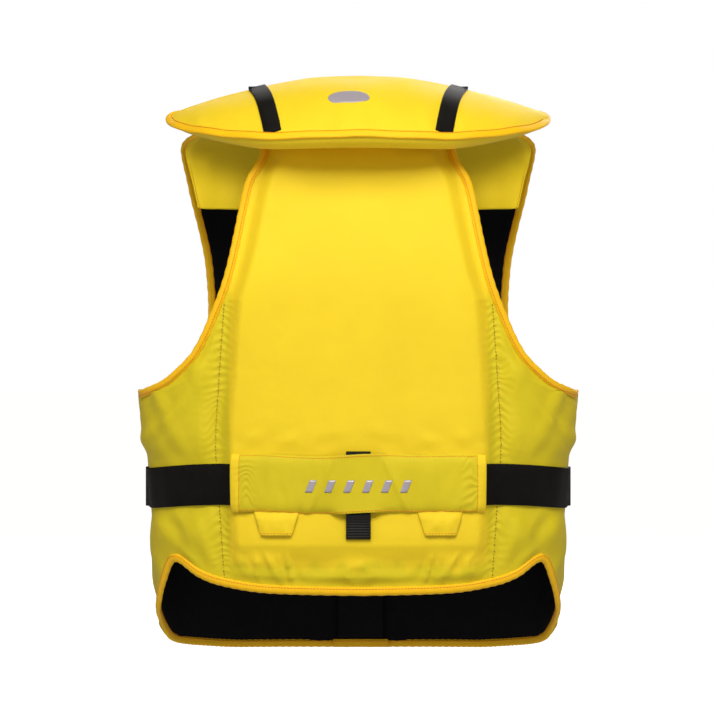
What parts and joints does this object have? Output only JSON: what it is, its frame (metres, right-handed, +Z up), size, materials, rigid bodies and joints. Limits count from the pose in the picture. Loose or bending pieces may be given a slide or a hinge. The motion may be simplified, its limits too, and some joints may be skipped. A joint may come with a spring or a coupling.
{
  "type": "inflatable life jacket",
  "caption": "Zip-front inflatable life jacket with filled back, folded padded collar, webbing belt with buckle and a gas inflation set inside the left front.",
  "frame": {"origin": "on the centreline at shoulder level, where a wearer's shoulders hold the jacket up", "axes": "+Z up, +Y the way the wearer faces, +X the wearer's right"},
  "size_m": [0.51, 0.3755, 0.6671],
  "materials": {
    "yellow_fabric": "matte",
    "orange_binding": "matte",
    "black_webbing": "satin",
    "black_lining": "matte",
    "reflective_tape": "satin",
    "white_foam": "matte",
    "bladder_film": "satin",
    "black_plastic": "satin",
    "red_plastic": "satin",
    "steel": "satin",
    "white_plastic": "satin"
  },
  "bodies": {
    "back": {"back_armhole_binding_left": "orange_binding", "back_armhole_binding_right": "orange_binding", "back_hem_binding": "orange_binding", "back_insert_pad": "white_foam", "back_lining": "black_lining", "back_outer_shell": "yellow_fabric", "back_webbing_loop": "black_webbing", "belt_back_webbing": "black_webbing", "belt_sleeve": "yellow_fabric", "collar_neck_roll": "yellow_fabric", "crotch_strap_loop_left": "yellow_fabric", "crotch_strap_loop_right": "yellow_fabric", "shoulder_yoke_left": "yellow_fabric", "shoulder_yoke_right": "yellow_fabric", "sleeve_reflective_bar": "reflective_tape"},
    "collar_flap": {"collar_upper_shell": "yellow_fabric", "collar_under_shell": "yellow_fabric", "collar_bladder": "bladder_film", "collar_rim_binding": "orange_binding", "collar_strap_left": "black_webbing", "collar_strap_right": "black_webbing", "collar_reflective_patch": "reflective_tape"},
    "front_left": {"belt_front_left": "black_webbing", "bladder_lobe_left": "bladder_film", "chest_reflective_patch_left": "reflective_tape", "front_armhole_binding_left": "orange_binding", "front_facing_left": "yellow_fabric", "front_hem_binding_left": "orange_binding", "front_lining_left": "black_lining", "front_outer_shell_left": "yellow_fabric", "zip_tape_left": "black_webbing", "zip_teeth_left": "black_plastic", "buckle_female": "black_plastic", "buckle_web_clamp": "black_plastic", "co2_cylinder": "steel", "inflator_body": "black_plastic", "oral_inflation_tube": "black_plastic", "oral_tube_flange": "black_plastic", "whistle_holder": "black_plastic"},
    "front_right": {"belt_front_right": "black_webbing", "bladder_lobe_right": "bladder_film", "chest_reflective_patch_right": "reflective_tape", "front_armhole_binding_right": "orange_binding", "front_facing_right": "yellow_fabric", "front_hem_binding_right": "orange_binding", "front_lining_right": "black_lining", "front_outer_shell_right": "yellow_fabric", "zip_tape_right": "black_webbing", "zip_teeth_right": "black_plastic"},
    "zip_slider": {"zip_slider": "black_plastic"},
    "zip_pull": {"zip_pull": "black_plastic"},
    "buckle_male": {"buckle_male": "black_plastic"},
    "inflator_lever": {"inflator_lever": "red_plastic", "pull_knob": "red_plastic"},
    "oral_cap": {"oral_tube_cap": "white_plastic"},
    "whistle": {"whistle": "white_plastic"}
  },
  "joints": [
    {"name": "collar_fold", "type": "hinge", "parent": "back", "child": "collar_flap", "pos_m": [0, -0.083, 0.055], "axis": [-1, 0, 0], "range_deg": [0, 60]},
    {"name": "front_left_open", "type": "hinge", "parent": "back", "child": "front_left", "pos_m": [-0.262, 0, -0.3], "axis": [0, 0, 1], "range_deg": [0, 40]},
    {"name": "front_right_open", "type": "hinge", "parent": "back", "child": "front_right", "pos_m": [0.262, 0, -0.3], "axis": [0, 0, -1], "range_deg": [0, 40]},
    {"name": "zip_slide", "type": "slide", "parent": "front_right", "child": "zip_slider", "axis": [0, 0, -1], "range_m": [0, 0.479]},
    {"name": "zip_pull_swing", "type": "hinge", "parent": "zip_slider", "child": "zip_pull", "pos_m": [0, 0.1431, -0.1265], "axis": [1, 0, 0], "range_deg": [0, 100]},
    {"name": "buckle_slide", "type": "slide", "parent": "front_right", "child": "buckle_male", "axis": [-1, 0, 0], "range_m": [0, 0.05]},
    {"name": "inflator_lever_turn", "type": "hinge", "parent": "front_left", "child": "inflator_lever", "pos_m": [-0.1005, 0.1435, -0.2804], "axis": [0, -1, 0], "range_deg": [0, 30]},
    {"name": "oral_cap_pull", "type": "slide", "parent": "front_left", "child": "oral_cap", "axis": [0, 0, 1], "range_m": [0, 0.016]},
    {"name": "whistle_pull", "type": "slide", "parent": "front_left", "child": "whistle", "axis": [0, 0, 1], "range_m": [0, 0.03]}
  ]
}
